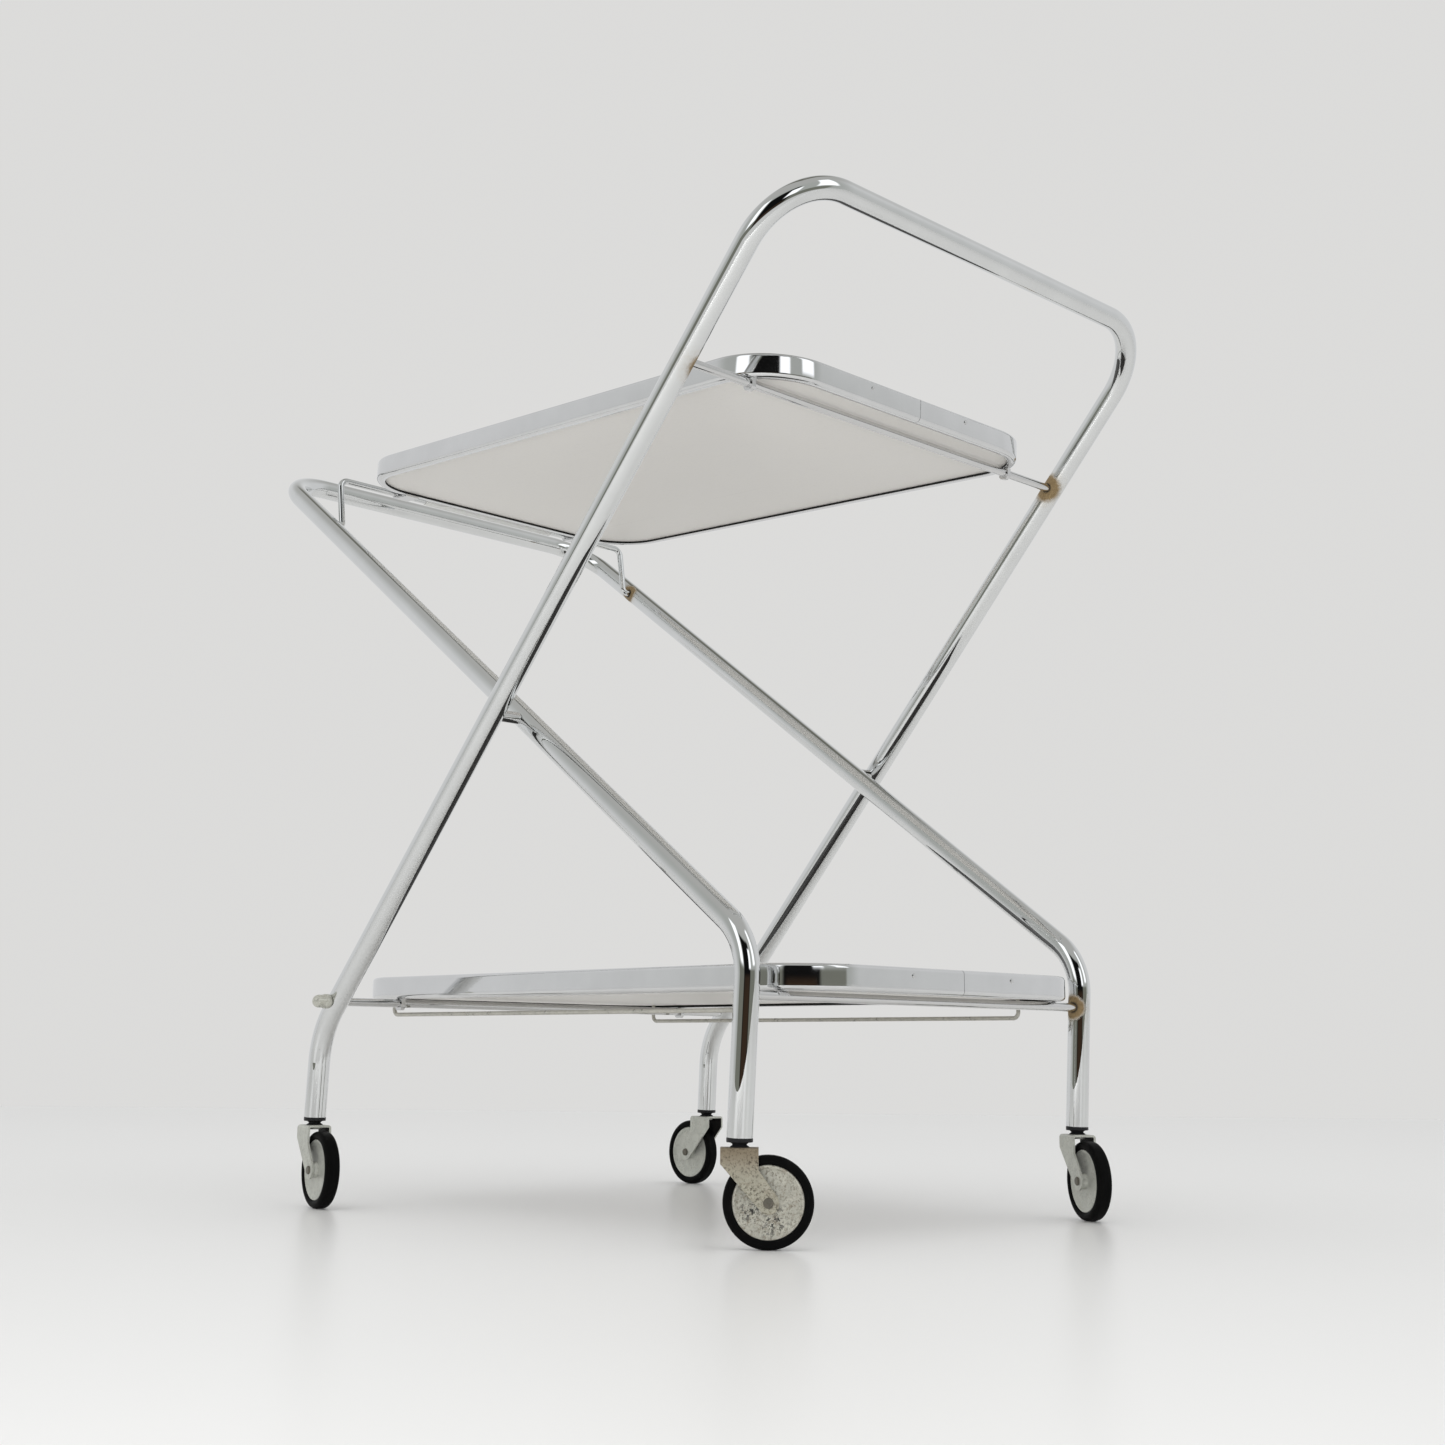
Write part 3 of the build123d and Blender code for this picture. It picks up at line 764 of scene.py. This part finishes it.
# Casters
def fork_side():
    """The side plate in the fork's own X-Z plane: a square top and a slanted, round-ended arm."""
    half = fork_top_length / 2
    front, back = caster_top - fork_front_height, caster_top - fork_back_height
    cx, cz, r = caster_trail, wheel_radius, fork_end_radius
    ends = []
    for px, pz, sign in ((half, back, 1), (-half, front, -1)):
        d = hypot(px - cx, pz - cz)
        base = atan2(pz - cz, px - cx)
        spread = atan2((d * d - r * r) ** 0.5, r)
        ends.append(base - sign * spread)
    roof = caster_top - fork_roll
    outline = [(-half, roof), (half, roof), (half, back)]
    a0, a1 = ends
    while a1 > a0:
        a1 -= 2 * pi
    for k in range(fork_end_steps + 1):
        angle = a0 + (a1 - a0) * k / fork_end_steps
        outline.append((cx + r * cos(angle), cz + r * sin(angle)))
    outline.append((-half, front))
    return outline


def fork_shape(place):
    """A pressed U: two side plates and a top joined by rolled edges."""
    top = caster_top
    t = fork_thickness
    outer = fork_inner_half + t
    half = fork_top_length / 2
    roll = fork_roll
    section = (arc(-outer + roll, top - roll, roll, 180, 90, 6)
               + arc(outer - roll, top - roll, roll, 90, 0, 6)
               + arc(outer - roll, top - roll, roll - t, 0, 90, 4)
               + arc(-outer + roll, top - roll, roll - t, 90, 180, 4))
    along_x = place @ Matrix(((0, 0, 1, 0), (1, 0, 0, 0), (0, 1, 0, 0), (0, 0, 0, 1)))
    along_y = place @ Matrix(((1, 0, 0, 0), (0, 0, 1, 0), (0, 1, 0, 0), (0, 0, 0, 1)))
    shapes = [extrude_outline(section, -half, half, along_x)]
    side = fork_side()
    for sign in (-1, 1):
        a, b = sorted((sign * fork_inner_half, sign * outer))
        shapes.append(extrude_outline(side, a, b, along_y))
    return joined(*shapes)


# A disc's dished face as (radius, share of the rim's half width), its rolled edge as (in from
# the edge, in from the rim's side), and a tyre's step beside the disc as (out from its inner
# radius, in from its side)
disc_dish = ((hub_radius + 0.3, 0.83), (hub_radius + 1.6, 0.72), (tyre_inner_radius * 0.55, 0.66),
             (tyre_inner_radius * 0.80, 0.62), (tyre_inner_radius * 0.86, 0.70))
disc_edge = ((2.2, 0.5), (1.4, 0.0), (0.5, 0.1), (0.0, 0.8))
tyre_step = ((0.0, 1.2), (1.0, 0.4), (2.0, 0.0))


def disc_profile():
    """A dished disc with a rolled edge and a raised hub."""
    edge = tyre_inner_radius
    hub_end = fork_inner_half - hub_side_gap
    bore = axle_radius + fit_clearance
    half = disc_half_width

    def face(s):
        return ([(hub_radius - hub_chamfer, s * hub_end), (hub_radius, s * (hub_end - hub_chamfer))]
                + [(radius, s * half * share) for radius, share in disc_dish]
                + [(edge - inward, s * (half - back)) for inward, back in disc_edge])

    return [(bore, hub_end)] + face(1) + list(reversed(face(-1))) + [(bore, -hub_end)]


def tyre_profile():
    """A tyre with a low crown, rounded shoulders and a shallow step beside the disc."""
    r, w, inner = wheel_radius, tyre_half_width, tyre_inner_radius
    right = arc(r - tyre_shoulder, w - tyre_shoulder, tyre_shoulder, 0, 90, 8)
    crown_half = w - tyre_shoulder - tyre_crown_inset
    return ([(inner + out, -(w - back)) for out, back in tyre_step]
            + [(x, -y) for x, y in reversed(right)] + [(r, -crown_half), (r, crown_half)] + right
            + [(inner + out, w - back) for out, back in reversed(tyre_step)])


def socket_profile():
    """A black insert: plug inside the tube, flange under its end and a waisted neck."""
    low, flange = caster_top + fit_clearance, foot_end - socket_flange
    bore, neck = stem_radius + fit_clearance, socket_neck_radius
    waist = neck - socket_waist_depth
    middle = (low + flange) / 2
    plug_end = foot_end + socket_plug_length
    step, bevel, edge = socket_step, socket_bevel, socket_edge_round
    return [(bore, low), (neck, low), (neck, low + step), (waist + step, middle - 0.4),
            (waist, middle), (waist + bevel, middle + step), (neck - 0.4, flange - bevel),
            (tube_radius - bevel, flange), (tube_radius, flange + bevel),
            (tube_radius, foot_end - edge), (tube_radius - edge, foot_end),
            (socket_plug_radius, foot_end), (socket_plug_radius, plug_end), (0, plug_end),
            (0, plug_end - socket_roof), (bore, plug_end - socket_roof)]


face_margin = 0.1
feet = {"near": (narrow_foot[0], -narrow_half, "narrow_frame"),
        "left": (wide_foot[0], -wide_half, "wide_frame"),
        "right": (narrow_foot[0], narrow_half, "narrow_frame"),
        "far": (wide_foot[0], wide_half, "wide_frame")}
for name, (x, y, carrier) in feet.items():
    socket = finish_mesh("waisted_socket_" + name,
                         *lathe(socket_profile(), turned_sides, Matrix.Translation((x, y, 0))),
                         carrier, black_plastic, "black_plastic")
    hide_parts("caster_socket_" + name)
    swivel = Matrix.Translation((x, y, 0)) @ Matrix.Rotation(radians(caster_headings[name]), 4, "Z")
    lying = (swivel @ Matrix.Translation((caster_trail, 0, wheel_radius))
             @ Matrix.Rotation(pi / 2, 4, "X"))
    fork_zinc, disc_zinc, slot = zinc_plain, zinc_plain, "zinc"
    if name == "near":
        fork_zinc, disc_zinc, slot = zinc_rusty, zinc_disc, "rusty_zinc"
    fork = finish_mesh("pressed_fork_" + name, *fork_shape(swivel), "caster_" + name, fork_zinc,
                       slot, 50.0)
    # The fork's inner faces get painted shade: near black where its inside lies in shadow
    fork.data.materials.append(painted_shade_black)
    for face in fork.data.polygons:
        local = swivel.inverted() @ (face.center / MM)
        inward = (abs(local.y) < fork_inner_half + face_margin
                  and local.z < caster_top - fork_thickness + face_margin)
        face.material_index = 1 if inward else 0
    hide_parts("caster_fork_" + name)
    disc = finish_mesh("dished_disc_" + name, *lathe(disc_profile(), disc_sides, lying),
                       "wheel_" + name, disc_zinc, slot, 40.0)
    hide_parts("wheel_disc_" + name)
    tyre = finish_mesh("rubber_tyre_" + name, *lathe(tyre_profile(), tyre_sides, lying),
                       "wheel_" + name, black_rubber, "tyre_rubber", 40.0)
    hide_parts("tyre_" + name)


# Stage, lights and camera

def stage_material(name, colour, rough):
    """A plain, faintly clouded floor."""
    n = Finish(name)
    cloud = n.noise(1.3, 3.0, 0.5)
    n.set("Base Color", n.mix(cloud, shaded(colour, 0.985), colour))
    n.set("Roughness", rough)
    n.set("Specular IOR Level", 0.25)
    return n.material


azimuth = radians(camera_azimuth)
ahead = Vector((-sin(azimuth), cos(azimuth), 0))
across = Vector((cos(azimuth), sin(azimuth), 0))
eye = Vector(camera_at) * MM

# The floor starts just ahead of the camera, in metres
floor_front, floor_back, floor_half = 0.1, 4.2, 7.0
base = Vector((eye.x, eye.y, 0))
corners = [base + ahead * reach + across * side
           for reach, side in ((floor_front, -floor_half), (floor_front, floor_half),
                               (floor_back, floor_half), (floor_back, -floor_half))]
mesh = bpy.data.meshes.new("studio_floor")
mesh.from_pydata(corners, [], [(0, 1, 2, 3)])
floor = bpy.data.objects.new("studio_floor", mesh)
bpy.context.scene.collection.objects.link(floor)
floor.data.materials.append(stage_material("studio_floor", (0.72, 0.718, 0.71), 0.32))

world = bpy.data.worlds.new("studio")
bpy.context.scene.world = world
world.use_nodes = True
room = Tree(world.node_tree)

# Directions in degrees: bearing to the right of the camera's own, the same without its sign,
# and height above the horizon
direction = room.add("ShaderNodeTexCoord").outputs["Generated"]
dx, dy, dz = room.add("ShaderNodeSeparateXYZ", Vector=direction).outputs
forward_part = room.math("ADD", room.math("MULTIPLY", dx, -sin(azimuth)),
                         room.math("MULTIPLY", dy, cos(azimuth)))
side_part = room.math("ADD", room.math("MULTIPLY", dx, cos(azimuth)),
                      room.math("MULTIPLY", dy, sin(azimuth)))
bearing = room.math("DIVIDE", room.math("ARCTAN2", side_part, forward_part), radians(1))
off_axis = room.math("ABSOLUTE", bearing)
rise = room.math("DIVIDE", room.math("ARCSINE", dz), radians(1))


def pane(angle, left, right, low, high, soft):
    """1 inside a pane of the room between two bearings and two heights, 0 outside it."""
    past_right = room.between(angle, right - soft, right + soft)
    past_high = room.between(rise, high - soft, high + soft)
    mask = room.math("MULTIPLY", room.between(angle, left - soft, left + soft),
                     room.math("SUBTRACT", 1.0, past_right))
    level = room.math("MULTIPLY", room.between(rise, low - soft, low + soft),
                      room.math("SUBTRACT", 1.0, past_high))
    return room.math("MULTIPLY", mask, level)


# What bright metal mirrors: a pale sweep ahead, grey sides and ceiling, and a darker room
# behind the camera with three windows. Each pane has the direction it is measured in, its
# left, right, low and high edge, its softness and its colour.
window_light = (1.45, 1.47, 1.5)
even_room = (0.97, 0.97, 0.965)
backdrop = (0.715, 0.712, 0.703)
shine = room.mix(room.between(off_axis, 75.0, 112.0), (0.74, 0.745, 0.75), (0.46, 0.475, 0.455))
shine = room.mix(room.between(rise, 32.0, 62.0), shine, (0.50, 0.50, 0.485))
panes = ((off_axis, -1.0, 34.0, 60.0, 88.0, 8.0, (0.17, 0.17, 0.145)),
         (off_axis, 112.0, 190.0, -12.0, 7.0, 2.0, (0.20, 0.205, 0.175)),
         (off_axis, 153.0, 190.0, -14.0, 40.0, 3.0, (0.006, 0.006, 0.006)),
         (off_axis, 158.0, 190.0, -8.0, 0.0, 4.0, (0.045, 0.028, 0.018)),
         (off_axis, -1.0, 190.0, -100.0, -11.0, 2.0, (0.70, 0.70, 0.69)),
         (bearing, -148.0, -127.0, 9.0, 47.0, 2.0, window_light),
         (bearing, 148.0, 164.0, 8.0, 31.0, 2.0, window_light),
         (bearing, 107.0, 128.0, 12.0, 55.0, 2.0, window_light))
for *where, colour in panes:
    shine = room.mix(pane(*where), shine, colour)

# Diffuse surfaces see an even pale room, and the camera a plain backdrop
paths = room.add("ShaderNodeLightPath")
seen = room.mix(paths.outputs["Is Glossy Ray"], even_room, shine)
seen = room.mix(paths.outputs["Is Camera Ray"], seen, backdrop)
background = room.add("ShaderNodeBackground", Color=seen, Strength=1.0)
room.add("ShaderNodeOutputWorld", Surface=background.outputs[0])


def area_light(name, at, target, size, power):
    """A rectangular lamp that neither the camera nor bright metal sees; metres and watts."""
    data = bpy.data.lights.new(name, "AREA")
    data.shape = "RECTANGLE"
    data.size, data.size_y = size
    data.energy = power
    lamp = bpy.data.objects.new(name, data)
    lamp.location = at
    lamp.rotation_euler = (Vector(target) - Vector(at)).to_track_quat("-Z", "Y").to_euler()
    lamp.visible_glossy = False
    lamp.visible_camera = False
    bpy.context.scene.collection.objects.link(lamp)


area_light("overhead_softbox", (0.3, -0.4, 2.6), (0, 0, 0.3), (2.4, 1.6), 12.0)
area_light("low_fill_card", (1.3, -1.5, 0.12), (0, 0, 0.7), (1.2, 0.8), 28.0)

data = bpy.data.cameras.new("photo_camera")
camera = bpy.data.objects.new("photo_camera", data)
bpy.context.scene.collection.objects.link(camera)
pitch, roll = radians(camera_pitch), radians(camera_roll)
forward = Vector((-sin(azimuth) * cos(pitch), cos(azimuth) * cos(pitch), sin(pitch)))
right = forward.cross(Vector((0, 0, 1))).normalized()
up = right.cross(forward)
right, up = right * cos(roll) + up * sin(roll), up * cos(roll) - right * sin(roll)
camera.matrix_world = Matrix((
    (right.x, up.x, -forward.x, eye.x),
    (right.y, up.y, -forward.y, eye.y),
    (right.z, up.z, -forward.z, eye.z),
    (0, 0, 0, 1)))
data.sensor_width = sensor_mm
data.lens = focal_pixels * sensor_mm / image_pixels
data.shift_x = (image_pixels / 2 - axis_pixel[0]) / image_pixels
data.shift_y = (axis_pixel[1] - image_pixels / 2) / image_pixels
data.clip_end = 50.0
scene = bpy.context.scene
scene.camera = camera
scene.view_settings.view_transform = "Standard"
